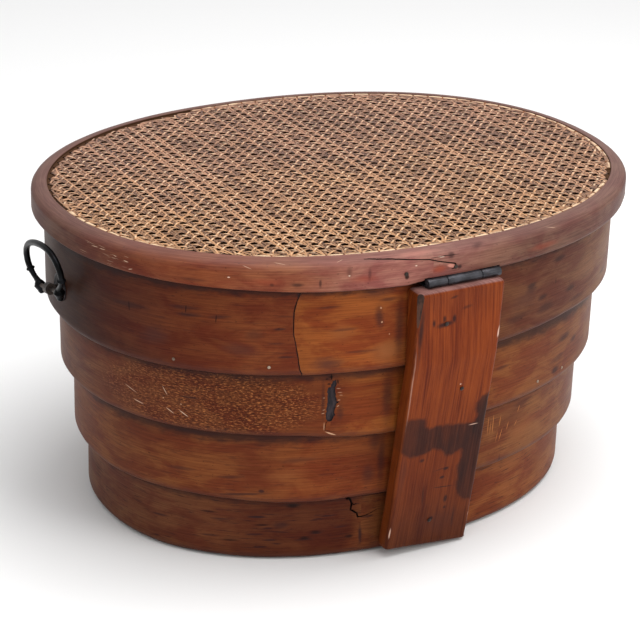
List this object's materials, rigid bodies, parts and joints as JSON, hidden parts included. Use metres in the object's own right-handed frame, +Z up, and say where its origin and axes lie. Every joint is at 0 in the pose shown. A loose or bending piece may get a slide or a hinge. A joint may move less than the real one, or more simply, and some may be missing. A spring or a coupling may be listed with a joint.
{
  "type": "bentwood box",
  "caption": "Oval stepped bentwood box with a hinged caned lid, an upright hinge batten and an iron bail handle at each end",
  "frame": {"origin": "centre of the oval plan on the underside of the base board, where the box rests on the ground", "axes": "+X along the oval's length to the right handle, -Y to the side with the hinge and the batten, +Z up"},
  "size_m": [0.6456, 0.5147, 0.3428],
  "materials": {
    "bent_wood": "old stained varnish, satin, crackled and scratched",
    "batten_wood": "worn varnish, satin, straight upright grain",
    "rim_wood": "old stained varnish, satin, worn edges",
    "cane": "aged natural cane, slightly glossy skin",
    "iron": "forged black iron, worn smooth"
  },
  "bodies": {
    "box": {"band_foot": "bent_wood", "band_lower": "bent_wood", "band_upper": "bent_wood", "band_top": "bent_wood", "band_top_closing_piece": "bent_wood", "base_board": "bent_wood", "hinge_batten": "batten_wood", "batten_nail_top": "iron", "batten_nail_middle": "iron", "batten_nail_bottom": "iron", "band_top_tack_1_front": "iron", "band_top_tack_1_back": "iron", "band_top_tack_2_front": "iron", "band_top_tack_2_back": "iron", "band_upper_tack_1_front": "iron", "band_upper_tack_1_back": "iron", "band_upper_tack_2_front": "iron", "band_upper_tack_2_back": "iron", "hinge_leaf_lower": "iron", "hinge_leaf_lower_screw_1": "iron", "hinge_leaf_lower_screw_2": "iron", "hinge_leaf_lower_screw_3": "iron", "hinge_pin": "iron", "handle_eye_left": "iron", "handle_plate_left": "iron", "handle_washer_left": "iron", "handle_nut_left": "iron", "handle_eye_right": "iron", "handle_plate_right": "iron", "handle_washer_right": "iron", "handle_nut_right": "iron"},
    "lid": {"lid_rim": "rim_wood", "rim_nail": "iron", "rim_scarf_nail": "iron", "cane_panel": "cane", "cane_binder": "cane", "hinge_leaf_upper": "iron", "hinge_leaf_upper_screw_1": "iron", "hinge_leaf_upper_screw_2": "iron", "hinge_leaf_upper_screw_3": "iron"},
    "left_handle": {"handle_bail_left": "iron", "handle_axle_left": "iron"},
    "right_handle": {"handle_bail_right": "iron", "handle_axle_right": "iron"}
  },
  "joints": [
    {"name": "lid_hinge", "type": "hinge", "parent": "box", "child": "lid", "pos_m": [0.003, -0.2525, 0.31], "axis": [1, 0, 0], "range_deg": [0, 110]},
    {"name": "left_handle_swing", "type": "hinge", "parent": "box", "child": "left_handle", "pos_m": [-0.3148, 0.003, 0.258], "axis": [0, -0.9781, 0.2079], "range_deg": [-12, 180]},
    {"name": "right_handle_swing", "type": "hinge", "parent": "box", "child": "right_handle", "pos_m": [0.3148, 0, 0.258], "axis": [0, 1, 0], "range_deg": [-12, 180]}
  ]
}
